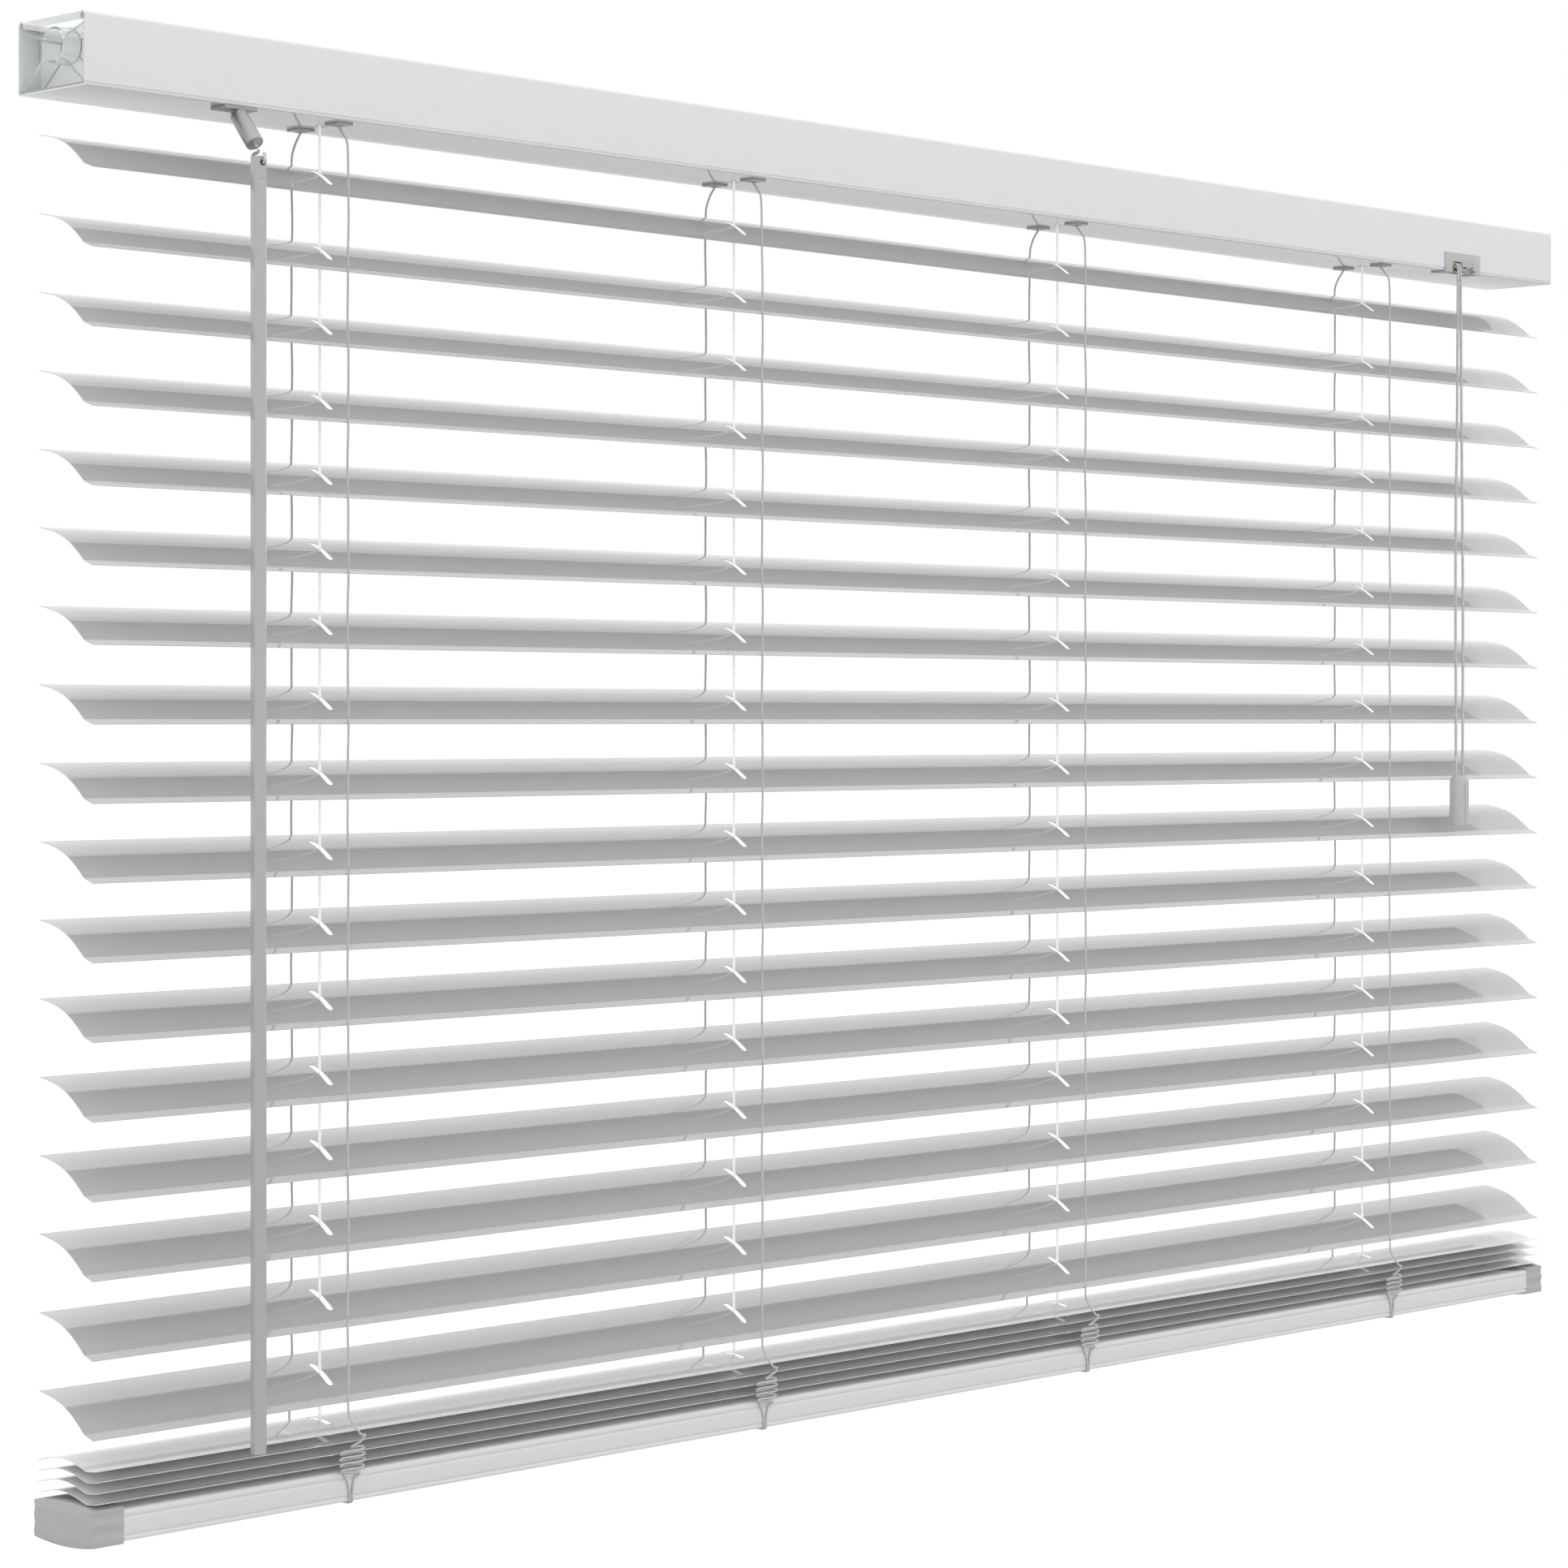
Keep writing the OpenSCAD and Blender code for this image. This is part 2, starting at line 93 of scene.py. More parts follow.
RAIL_LOW, RAIL_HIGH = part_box("head_rail")
RAIL_W = RAIL_HIGH.x - RAIL_LOW.x
BOTTOM = RAIL_LOW.z
MID_Y = (RAIL_LOW.y + RAIL_HIGH.y) / 2
JOINTS = {j["name"]: j for j in frame["joints"]}
STATION_SHARES = (0.133, 0.374, 0.6, 0.8525)
STATIONS = [round(RAIL_W * share, 3) + RAIL_LOW.x for share in STATION_SHARES]

SLAT_COUNT = 17
STACK_COUNT = 4
SLAT_CHORD = 50 * MM
SLAT_THICK = 0.3 * MM
SLAT_CROWN = 3.9 * MM
SLAT_DIP = 0.7 * MM
SLAT_LIP = 7.8 * MM
SLAT_TILT = math.radians(24)
STACK_PITCH = 5.6 * MM
SLAT_X0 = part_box("slat_01")[0].x
SLAT_X1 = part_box("slat_01")[1].x
SLOT_LONG = 20 * MM
SLOT_WIDE = 4 * MM

FRONT_LOW, FRONT_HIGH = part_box("ladder_fronts")
REAR_LOW, REAR_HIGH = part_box("ladder_rears")
FRONT_Y = (FRONT_LOW.y + FRONT_HIGH.y) / 2
REAR_Y = (REAR_LOW.y + REAR_HIGH.y) / 2
BASE_LOW, BASE_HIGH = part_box("bottom_rail")
CAP_LOW, CAP_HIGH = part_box("bottom_cap_left")
LOCK_LOW, LOCK_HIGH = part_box("cord_lock_body")
LOCK_X = (LOCK_LOW.x + LOCK_HIGH.x) / 2
WAND_LOW, WAND_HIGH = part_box("wand")
WAND_X = (WAND_LOW.x + WAND_HIGH.x) / 2
WAND_Y = (WAND_LOW.y + WAND_HIGH.y) / 2
TASSEL_LOW, TASSEL_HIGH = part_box("tassel")
ROLLER_LOW, ROLLER_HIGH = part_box("lock_roller")


def slat_axis(k):
    """Middle of open slat k, from its hinge."""
    name = "slat_tilt" if k == 1 else f"tilt_{k:02d}"
    return Vector(JOINTS[name]["pos_m"])


def slat_body(k):
    """The body, and the CAD node, of open slat k."""
    return f"slat_{k:02d}"


# ---- camera ----

# The image's width and the lens's focal length, in one unit
PHOTO_SIZE = 1932
FOCAL = 5054
SENSOR_WIDTH = 36
HORIZON_SHIFT = -0.0404
YAW = math.radians(46)
# The rail's near top corner from the lens: metres ahead, the share of that to the left, and metres up
CORNER_DEPTH = 2.069
CORNER_SIDE = 0.1704
CAMERA_DROP = 0.3589


def make_camera():
    """A level view along the blind's face from the lower left, placed off the rail's near top corner."""
    corner = Vector((RAIL_LOW.x, RAIL_LOW.y, RAIL_HIGH.z))
    ahead = Vector((math.sin(YAW), math.cos(YAW), 0))
    right = Vector((math.cos(YAW), -math.sin(YAW), 0))
    data = bpy.data.cameras.new("camera")
    data.sensor_width = SENSOR_WIDTH
    data.lens = SENSOR_WIDTH * FOCAL / PHOTO_SIZE
    data.shift_y = HORIZON_SHIFT
    camera = bpy.data.objects.new("camera", data)
    place = corner - ahead * CORNER_DEPTH + right * CORNER_DEPTH * CORNER_SIDE
    camera.location = (place.x, place.y, corner.z - CAMERA_DROP)
    camera.rotation_euler = ahead.to_track_quat("-Z", "Y").to_euler()
    bpy.context.scene.collection.objects.link(camera)
    bpy.context.scene.camera = camera


# ---- mesh helpers ----


def make_object(name, parts, material, sharp=30):
    """One mesh object from (points, faces) parts, smooth but for edges that turn more than sharp degrees."""
    points, faces = [], []
    for part_points, part_faces in parts:
        start = len(points)
        points += [tuple(p) for p in part_points]
        faces += [[start + i for i in face] for face in part_faces]
    mesh = bpy.data.meshes.new(name)
    mesh.from_pydata(points, [], faces)
    finish_mesh(mesh, sharp)
    mesh.materials.append(material)
    return link(name, mesh)


def finish_mesh(mesh, sharp):
    """Faces turned outward, then shaded."""
    bm = bmesh.new()
    bm.from_mesh(mesh)
    bmesh.ops.recalc_face_normals(bm, faces=bm.faces)
    bm.to_mesh(mesh)
    bm.free()
    shade_smooth(mesh, sharp)


def shade_smooth(mesh, sharp):
    """Smooth shading that breaks at edges that turn more than sharp degrees."""
    mesh.shade_smooth()
    mesh.set_sharp_from_angle(angle=math.radians(sharp))


def link(name, mesh):
    """The mesh as an object in the scene."""
    obj = bpy.data.objects.new(name, mesh)
    bpy.context.scene.collection.objects.link(obj)
    return obj


def applied(obj):
    """The object's mesh with its modifiers worked in."""
    bpy.context.view_layer.update()
    graph = bpy.context.evaluated_depsgraph_get()
    mesh = bpy.data.meshes.new_from_object(obj.evaluated_get(graph))
    obj.modifiers.clear()
    obj.data = mesh
    return obj


def lofted(rings):
    """Rings of equal count joined in order, closed at both ends."""
    n = len(rings[0])
    points = [p for ring in rings for p in ring]
    faces = [[i * n + j, i * n + (j + 1) % n, (i + 1) * n + (j + 1) % n, (i + 1) * n + j]
             for i in range(len(rings) - 1) for j in range(n)]
    faces += [list(range(n))[::-1], [(len(rings) - 1) * n + j for j in range(n)]]
    return points, faces


def prism(outline, x_places):
    """A Y-Z outline stretched along X, with a ring at each place."""
    return lofted([[(x, p[0], p[1]) for p in outline] for x in x_places])


def rounded(corners, radius, steps=3):
    """A closed outline with each corner turned on a short curve of about that radius."""
    out = []
    n = len(corners)
    for i, corner in enumerate(corners):
        here = Vector(corner)
        before = Vector(corners[i - 1]) - here
        after = Vector(corners[(i + 1) % n]) - here
        cut = min(radius, before.length * 0.45, after.length * 0.45)
        a = here + before.normalized() * cut
        b = here + after.normalized() * cut
        for s in range(steps + 1):
            t = s / steps
            out.append(a * (1 - t) ** 2 + here * 2 * t * (1 - t) + b * t ** 2)
    return out


def sheet_outline(line, thick):
    """A folded sheet's outline, from the line down its middle."""
    left, right = [], []
    for i, here in enumerate(line):
        along = Vector(line[min(i + 1, len(line) - 1)]) - Vector(line[max(i - 1, 0)])
        across = Vector((-along.y, along.x)).normalized() * thick / 2
        left.append(Vector(here) + across)
        right.append(Vector(here) - across)
    return left + right[::-1]


def curved(points, per=6):
    """A smooth line through points (Catmull-Rom)."""
    pts = [Vector(p) for p in points]
    pts = [pts[0] * 2 - pts[1], *pts, pts[-1] * 2 - pts[-2]]
    out = []
    for i in range(1, len(pts) - 2):
        a, b, c, d = pts[i - 1:i + 3]
        for s in range(per):
            t = s / per
            out.append(0.5 * (2 * b + (c - a) * t + (2 * a - 5 * b + 4 * c - d) * t ** 2
                              + (3 * b - a - 3 * c + d) * t ** 3))
    return out + [pts[-2]]


def tube(path, radius, sides=10, plies=0, depth=0.0, pitch=1.0):
    """A swept tube. With plies, its section is lobed and winds once in each pitch, like laid cord."""
    path = [Vector(p) for p in path]
    n = len(path)
    rings = []
    across = None
    turn = 0.0
    for i, here in enumerate(path):
        along = (path[min(i + 1, n - 1)] - path[max(i - 1, 0)]).normalized()
        if across is None:
            across = along.orthogonal().normalized()
        across = (across - along * across.dot(along)).normalized()
        other = along.cross(across)
        turn += 0 if i == 0 else (here - path[i - 1]).length / pitch * 2 * math.pi
        ring = []
        for j in range(sides):
            a = 2 * math.pi * j / sides
            lobe = 1 - depth * (0.5 - 0.5 * math.cos(plies * (a - turn))) if plies else 1
            ring.append(here + (across * math.cos(a) + other * math.sin(a)) * radius * lobe)
        rings.append(ring)
    return lofted(rings)


def cuboid(low, high):
    """A box between two opposite corners."""
    points = [(x, y, z) for x in (low[0], high[0]) for y in (low[1], high[1]) for z in (low[2], high[2])]
    faces = [[0, 1, 3, 2], [4, 6, 7, 5], [0, 4, 5, 1], [2, 3, 7, 6], [0, 2, 6, 4], [1, 5, 7, 3]]
    return points, faces


def obround(centre, half_line, radius, z0, z1, steps=8):
    """An upright prism with round ends, long in Y."""
    ring = []
    for side in (1, -1):
        for s in range(steps + 1):
            a = math.pi * s / steps + (0 if side > 0 else math.pi)
            x = centre[0] + radius * math.cos(a)
            ring.append((x, centre[1] + side * half_line + radius * math.sin(a)))
    return lofted([[(p[0], p[1], z) for p in ring] for z in (z0, z1)])


def carve(obj, cutters, sharp=30):
    """Cut closed parts out of the object."""
    tool = make_object("cutter", cutters, obj.data.materials[0])
    cut = obj.modifiers.new("cut", "BOOLEAN")
    cut.operation = "DIFFERENCE"
    cut.solver = "EXACT"
    cut.object = tool
    applied(obj)
    bpy.data.objects.remove(tool)
    shade_smooth(obj.data, sharp)
    return obj


def softened(node, material, width=0.3 * MM, segments=2):
    """A copy of a CAD node with its edges rounded over, which stands for it."""
    mesh = frame["nodes"][node].data.copy()
    mesh.materials.clear()
    mesh.materials.append(material)
    bm = bmesh.new()
    bm.from_mesh(mesh)
    bmesh.ops.remove_doubles(bm, verts=bm.verts, dist=1e-6)
    bmesh.ops.dissolve_limit(bm, angle_limit=math.radians(1), verts=bm.verts, edges=bm.edges)
    for face in bm.faces:
        face.material_index = 0
    bm.to_mesh(mesh)
    bm.free()
    obj = link(f"{node}_finished", mesh)
    bevel = obj.modifiers.new("edge", "BEVEL")
    bevel.width = width
    bevel.segments = segments
    bevel.limit_method = "ANGLE"
    bevel.angle_limit = math.radians(35)
    applied(obj)
    shade_smooth(obj.data, 40)
    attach(obj, frame["nodes"][node]["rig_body"])
    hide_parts(node)
    return obj


# ---- materials ----


def material(name, colour, rough, grain=0.0, grain_size=1 * MM, shade=0.03, **sockets):
    """A finish with a slight noise in its colour and, with grain, in its surface."""
    mat = bpy.data.materials.new(name)
    mat.use_nodes = True
    nodes, links = mat.node_tree.nodes, mat.node_tree.links
    shader = nodes["Principled BSDF"]
    shader.inputs["Roughness"].default_value = rough
    for socket, value in sockets.items():
        shader.inputs[socket.replace("_", " ")].default_value = value
    place = nodes.new("ShaderNodeTexCoord")
    cloud = nodes.new("ShaderNodeTexNoise")
    cloud.inputs["Scale"].default_value = 0.12 / grain_size
    cloud.inputs["Detail"].default_value = 3
    links.new(place.outputs["Object"], cloud.inputs["Vector"])
    ramp = nodes.new("ShaderNodeValToRGB")
    for stop, lift in zip(ramp.color_ramp.elements, (-shade, shade)):
        stop.color = (*[min(1, max(0, c * (1 + lift))) for c in colour], 1)
    ramp.color_ramp.elements[0].position = 0.35
    ramp.color_ramp.elements[1].position = 0.65
    links.new(cloud.outputs["Fac"], ramp.inputs["Fac"])
    links.new(ramp.outputs["Color"], shader.inputs["Base Color"])
    if grain:
        speck = nodes.new("ShaderNodeTexNoise")
        speck.inputs["Scale"].default_value = 1 / grain_size
        links.new(place.outputs["Object"], speck.inputs["Vector"])
        add_bump(mat, speck.outputs["Fac"], grain)
    return mat


def add_bump(mat, height, depth):
    """Press a pattern's heights into the material's surface."""
    nodes, links = mat.node_tree.nodes, mat.node_tree.links
    bump = nodes.new("ShaderNodeBump")
    bump.inputs["Strength"].default_value = 0.6
    bump.inputs["Distance"].default_value = depth
    links.new(height, bump.inputs["Height"])
    links.new(bump.outputs["Normal"], nodes["Principled BSDF"].inputs["Normal"])


def braid_material(name, colour, pitch, **sockets):
    """Braided yarn: two crossing diagonal waves pressed into the surface."""
    mat = material(name, colour, 0.75, grain_size=0.5 * MM, shade=0.06, **sockets)
    nodes, links = mat.node_tree.nodes, mat.node_tree.links
    place = nodes["Texture Coordinate"]
    waves = []
    for lean in (45, -45):
        turn = nodes.new("ShaderNodeMapping")
        turn.inputs["Rotation"].default_value = (math.radians(lean), 0, math.radians(45))
        wave = nodes.new("ShaderNodeTexWave")
        wave.inputs["Scale"].default_value = 0.31 / pitch
        links.new(place.outputs["Object"], turn.inputs["Vector"])
        links.new(turn.outputs["Vector"], wave.inputs["Vector"])
        waves.append(wave)
    both = nodes.new("ShaderNodeMath")
    both.operation = "MAXIMUM"
    for wave, socket in zip(waves, both.inputs):
        links.new(wave.outputs["Fac"], socket)
    add_bump(mat, both.outputs["Value"], 0.15 * MM)
    return mat


def brushed_material(name, colour, rough):
    """Metal with fine drawn lines along X."""
    mat = material(name, colour, rough, grain_size=2 * MM, shade=0.05, Metallic=1.0)
    nodes, links = mat.node_tree.nodes, mat.node_tree.links
    stretch = nodes.new("ShaderNodeMapping")
    stretch.inputs["Scale"].default_value = (40, 2500, 2500)
    lines = nodes.new("ShaderNodeTexNoise")
    lines.inputs["Scale"].default_value = 1
    links.new(nodes["Texture Coordinate"].outputs["Object"], stretch.inputs["Vector"])
    links.new(stretch.outputs["Vector"], lines.inputs["Vector"])
    add_bump(mat, lines.outputs["Fac"], 0.01 * MM)
    return mat


def slat_material(name, grey):
    """Enamel under a glossy clear coat."""
    return material(name, (grey, grey, grey * 1.01), 0.6, grain=0.002 * MM, grain_size=3 * MM, shade=0.012,
                    Specular_IOR_Level=0.2, Coat_Weight=1.0, Coat_Roughness=0.04, Coat_IOR=1.9)


ENAMEL = material("rail_enamel", (0.88, 0.88, 0.88), 0.5, grain=0.003 * MM, grain_size=2 * MM,
                  shade=0.006, Coat_Weight=0.8, Coat_Roughness=0.04)
SLAT_ENAMEL = slat_material("slat_enamel", 0.54)
# The stacked slats' copy of the slat enamel is painted lighter (0.84 against 0.54), standing in for light
# that the narrow gaps between them shut out.
STACK_ENAMEL_PAINTED_LIGHTER = slat_material("stack_enamel_painted_lighter", 0.84)
BASE_ENAMEL = material("base_enamel", (0.80, 0.80, 0.80), 0.35, grain=0.005 * MM, grain_size=1.5 * MM,
                       shade=0.006, Coat_Weight=0.5, Coat_Roughness=0.1)
CAP_PLASTIC = material("cap_plastic", (0.50, 0.50, 0.50), 0.5, grain=0.03 * MM, grain_size=0.35 * MM,
                       shade=0.02)
WHITE_PLASTIC = material("white_plastic", (0.72, 0.72, 0.71), 0.4, grain=0.01 * MM, shade=0.01)
TILTER_PLASTIC = material("tilter_plastic", (0.40, 0.40, 0.40), 0.4, grain=0.01 * MM, shade=0.02)
LOCK_PLASTIC = material("lock_plastic", (0.58, 0.58, 0.58), 0.33, grain=0.01 * MM, shade=0.01)
TASSEL_PLASTIC = material("tassel_plastic", (0.57, 0.57, 0.57), 0.35, grain=0.008 * MM, shade=0.02)
WAND_PLASTIC = material("wand_plastic", (0.52, 0.52, 0.52), 0.22, grain=0.006 * MM, shade=0.015,
                        Coat_Weight=0.5)
# The clear plastic glows faintly (emission 0.025): painted light that lifts the shade inside the end caps.
CLEAR_PLASTIC_GLOWING = material("clear_plastic", (0.92, 0.95, 0.935), 0.12, grain=0.004 * MM, shade=0.015,
                         Transmission_Weight=0.8, IOR=1.1, Emission_Strength=0.025)
BUSHING_PLASTIC = material("bushing_plastic", (0.62, 0.66, 0.63), 0.2, grain=0.008 * MM, shade=0.03,
                           Transmission_Weight=0.3, IOR=1.4)
GEAR_PLASTIC = material("gear_plastic", (0.74, 0.72, 0.66), 0.45, grain=0.01 * MM, shade=0.02)
NICKEL = material("nickel", (0.62, 0.62, 0.62), 0.16, grain=0.004 * MM, shade=0.03, Metallic=1.0)
SLEEVE_METAL = brushed_material("sleeve_metal", (0.50, 0.50, 0.50), 0.45)
STEEL = brushed_material("steel", (0.50, 0.50, 0.51), 0.32)
BRASS = brushed_material("brass", (0.38, 0.26, 0.13), 0.35)
# The lift cords glow a little (emission 0.3): painted light that keeps them white between the shading slats.
LIFT_CORD_GLOWING = braid_material("lift_cord", (0.97, 0.97, 0.97), 1.2 * MM, Sheen_Weight=0.5,
                           Emission_Strength=0.3)
LADDER_CORD = braid_material("ladder_cord", (0.62, 0.62, 0.62), 0.9 * MM, Sheen_Weight=0.25)
PULL_CORD = braid_material("pull_cord", (0.72, 0.72, 0.71), 0.8 * MM, Sheen_Weight=0.25)

# ---- pull cords and tassel ----

PULL_LOW, PULL_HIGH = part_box("pull_cords")
PULL_X = (PULL_LOW.x + PULL_HIGH.x) / 2
PULL_RADIUS = 2.35 / 2 * MM
ROLLER_Y = (ROLLER_LOW.y + ROLLER_HIGH.y) / 2
ROLLER_Z = (ROLLER_LOW.z + ROLLER_HIGH.z) / 2
TURN_R = (ROLLER_HIGH.z - ROLLER_LOW.z) / 2 + PULL_RADIUS + 0.1 * MM
PULL_Y = ROLLER_Y - TURN_R
CORD_STEP = 0.4 * MM
LOCK_SPREAD = 1.4 * MM
TASSEL_SPREAD = 4.2 * MM
# The tassel's half width, as a share, at each of so many thirty-sixths of its height from the top
TASSEL_SHAPE = ((0.56, 0.0), (0.68, 0.1), (0.75, 0.7), (0.86, 1.9), (0.97, 3.2), (1.0, 4.6), (1.0, 12),
                (1.0, 24), (1.0, 34.6), (0.985, 35.5), (0.95, 36.0), (0.8, 36.0), (0.78, 34.5))
SEAM_HALF = 0.3 * MM
SEAM_DEPTH = 0.45 * MM


def pull_route(side):
    """Over the roller, then down with a slight wander while the two cords part, to the tassel."""
    x = PULL_X + side * LOCK_SPREAD
    route = [(x, -49 * MM, ROLLER_Z + TURN_R), (x, -52 * MM, ROLLER_Z + TURN_R)]
    for step in range(13):
        a = math.radians(7.5 * step)
        route.append((x, ROLLER_Y - TURN_R * math.sin(a), ROLLER_Z + TURN_R * math.cos(a)))
    end = TASSEL_HIGH.z - 1 * MM
    drop = ROLLER_Z - end
    count = round(drop / CORD_STEP)
    for step in range(1, count + 1):
        t = step / count
        apart = LOCK_SPREAD + (TASSEL_SPREAD - LOCK_SPREAD) * min(1, t / 0.45) ** 1.3
        wander = 0.45 * MM * math.sin(9 * t + side * 1.2) * math.sin(math.pi * t)
        route.append((PULL_X + side * apart + wander, PULL_Y, ROLLER_Z - drop * t))
    return route


def tassel_ring(half_x, half_y, z, steps=40):
    """A flattened round outline at one height."""
    ring = []
    for i in range(steps):
        a = 2 * math.pi * i / steps
        c, q = math.cos(a), math.sin(a)
        ring.append((PULL_X + half_x * math.copysign(abs(c) ** 0.8, c),
                     PULL_Y + half_y * math.copysign(abs(q) ** 0.8, q), z))
    return ring


def make_tassel():
    """Moulded in two halves: shoulders at the top, a part line down the front and back, a hollow foot."""
    top, low = TASSEL_HIGH.z, TASSEL_LOW.z
    half_x = (TASSEL_HIGH.x - TASSEL_LOW.x) / 2
    half_y = (TASSEL_HIGH.y - TASSEL_LOW.y) / 2
    rings = [tassel_ring(half_x * wide, half_y * wide, top - (top - low) * down / 36)
             for wide, down in TASSEL_SHAPE]
    tassel = make_object("tassel_shell", [lofted(rings)], TASSEL_PLASTIC, 50)
    seams = []
    for face_y in (PULL_Y - half_y, PULL_Y + half_y):
        seams.append(cuboid((PULL_X - SEAM_HALF, face_y - SEAM_DEPTH, low - MM),
                            (PULL_X + SEAM_HALF, face_y + SEAM_DEPTH, top - 5 * MM)))
    carve(tassel, seams, 40)
    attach(tassel, "pull")
    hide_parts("tassel")
    return tassel


def make_pull_cords():
    """Two laid cords side by side, which share the tassel at their lower ends."""
    tassel = make_tassel()
    for name, side in (("pull_cord_left", -1), ("pull_cord_right", 1)):
        route = pull_route(side)
        laid = tube(route, PULL_RADIUS, 14, plies=3, depth=0.5, pitch=3.6 * MM)
        cord = make_object(name, [laid], PULL_CORD, 60)
        if side < 0:
            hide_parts("pull_cords")
        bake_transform(cord)


# ---- ladder and lift cords ----

LADDER_RADIUS = 0.62 * MM
LIFT_RADIUS = 0.85 * MM
BUSH_OFFSET = 16 * MM
BUSH_HALF = 4.7 * MM


def sway(z, seed):
    """The small wander of a cord that hangs nearly straight."""
    return 0.25 * MM * math.sin(z * 70 + seed * 2.1) + 0.15 * MM * math.sin(z * 163 + seed)


def ladder_line(x, y, top, low, seed):
    """A ladder cord's path down the blind."""
    steps = 160
    heights = [top + (low - top) * i / steps for i in range(steps + 1)]
    return [(x + sway(z, seed), y + sway(z, seed + 5) * 0.3, z) for z in heights]


def make_ladders():
    """The long verticals past the open slats; they shorten as the blind is raised."""
    for body, node, y, top, low in (("ladder_front", "ladder_fronts", FRONT_Y, FRONT_HIGH.z, FRONT_LOW.z),
                                    ("ladder_rear", "ladder_rears", REAR_Y, REAR_HIGH.z, REAR_LOW.z)):
        parts = [tube(ladder_line(x, y, top, low, i), LADDER_RADIUS, 8) for i, x in enumerate(STATIONS)]
        obj = make_object(f"{body}_cords", parts, LADDER_CORD, 60)
        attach(obj, body)
        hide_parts(node)
        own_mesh(obj)


def make_ladder_tops():
    """From each drum out through its bushing and down to the first slat's edges."""
    for side, y, top, name in ((-1, FRONT_Y, FRONT_HIGH.z, "ladder_top_fronts"),
                               (1, REAR_Y, REAR_HIGH.z, "ladder_top_rears")):
        parts = []
        for i, x in enumerate(STATIONS):
            bush = MID_Y + side * BUSH_OFFSET
            x_end = x + sway(top, i)
            y_end = y + sway(top, i + 5) * 0.3
            line = curved([(x, MID_Y + side * 10.4 * MM, BOTTOM + 13 * MM),
                           (x, bush - side * MM, BOTTOM + 2 * MM),
                           (x, bush, BOTTOM - 1.5 * MM),
                           (x, bush + side * 4 * MM, BOTTOM - 6.5 * MM),
                           (x_end, y_end - side * 0.6 * MM, BOTTOM - 13 * MM),
                           (x_end, y_end, top)], 8)
            parts.append(tube(line, LADDER_RADIUS, 8))
        obj = make_object(name, parts, LADDER_CORD, 60)
        if side < 0:
            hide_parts("ladder_tops")
        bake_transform(obj)


COIL_LOOPS = 4
COIL_HALF = 8.6 * MM
COIL_PITCH = 3.2 * MM


def coil_line(x, y, top):
    """The spare ladder cord, pushed together in flat loops."""
    line = []
    steps = 12
    for i in range(COIL_LOOPS * steps + 1):
        a = 2 * math.pi * i / steps
        swell = 0.85 + 0.15 * math.sin(math.pi * i / (COIL_LOOPS * steps))
        line.append((x - COIL_HALF * swell * math.cos(a), y + 1.0 * MM * math.sin(a),
                     top - COIL_PITCH * (i / steps + 0.12 * math.sin(2 * a))))
    return line


def under_run(x, side, y_edge, z, under):
    """Round the bottom rail's lower edge and along its underside to the plug."""
    return [(x, y_edge, z), (x, y_edge - side * 0.3 * MM, under + 0.5 * MM),
            (x, y_edge - side * 3 * MM, under),
            (x, MID_Y + side * 12 * MM, under), (x, MID_Y + side * 4 * MM, under)]


def make_tails():
    """Below the last open slat: a bend, the gathered loops, then two strands down to the plug below."""
    out_y = BASE_LOW.y - 2.4 * MM
    coil_top = BASE_HIGH.z + 13.5 * MM
    coil_low = coil_top - COIL_LOOPS * COIL_PITCH
    near_y = BASE_LOW.y - LADDER_RADIUS - 0.1 * MM
    under = BASE_LOW.z - LADDER_RADIUS - 0.05 * MM
    fronts, strands, rears = [], [], []
    for i, x in enumerate(STATIONS):
        x_top = x + sway(FRONT_LOW.z, i)
        y_top = FRONT_Y + sway(FRONT_LOW.z, i + 5) * 0.3
        bend = [(x_top, y_top, FRONT_LOW.z), (x + 0.5 * MM, y_top - 0.5 * MM, FRONT_LOW.z - 8 * MM),
                (x + 5.5 * MM, out_y, FRONT_LOW.z - 17 * MM), (x + 8.6 * MM, out_y, coil_top + 5 * MM),
                (x + 6.5 * MM, out_y, coil_top + 2.2 * MM)]
        loops = coil_line(x, out_y, coil_top)
        tail = [(x - 1 * MM, out_y, coil_low - 1.0 * MM),
                (x + 5.5 * MM, out_y + 0.3 * MM, coil_low - 2.2 * MM),
                (x + 2.6 * MM, near_y, coil_low - 5.5 * MM),
                *under_run(x + 1.2 * MM, -1, near_y, BASE_LOW.z + 3 * MM, under)]
        fronts.append(tube(curved(bend + loops[3:] + tail, 4), LADDER_RADIUS, 8))
        second = [(x - 5.5 * MM, out_y + 0.8 * MM, coil_low - 0.2 * MM),
                  (x - 3.8 * MM, near_y, coil_low - 3.2 * MM),
                  (x - 1.8 * MM, near_y, coil_low - 7 * MM),
                  *under_run(x - 0.4 * MM, -1, near_y, BASE_LOW.z + 4 * MM, under)]
        strands.append(tube(curved(second, 6), LADDER_RADIUS, 8))
        back_y = MID_Y + (MID_Y - near_y)
        back = [(x, REAR_Y, REAR_LOW.z), (x, back_y, REAR_LOW.z - 14 * MM),
                *under_run(x, 1, back_y, BASE_LOW.z + 3 * MM, under)]
        rears.append(tube(curved(back, 8), LADDER_RADIUS, 8))
    front = make_object("ladder_tail_fronts", fronts, LADDER_CORD, 60)
    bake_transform(front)
    rear = make_object("ladder_tail_rears", rears, LADDER_CORD, 60)
    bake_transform(rear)
    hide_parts("cord_tails")
    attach(make_object("ladder_tail_strands", strands, LADDER_CORD, 60), "bottom")


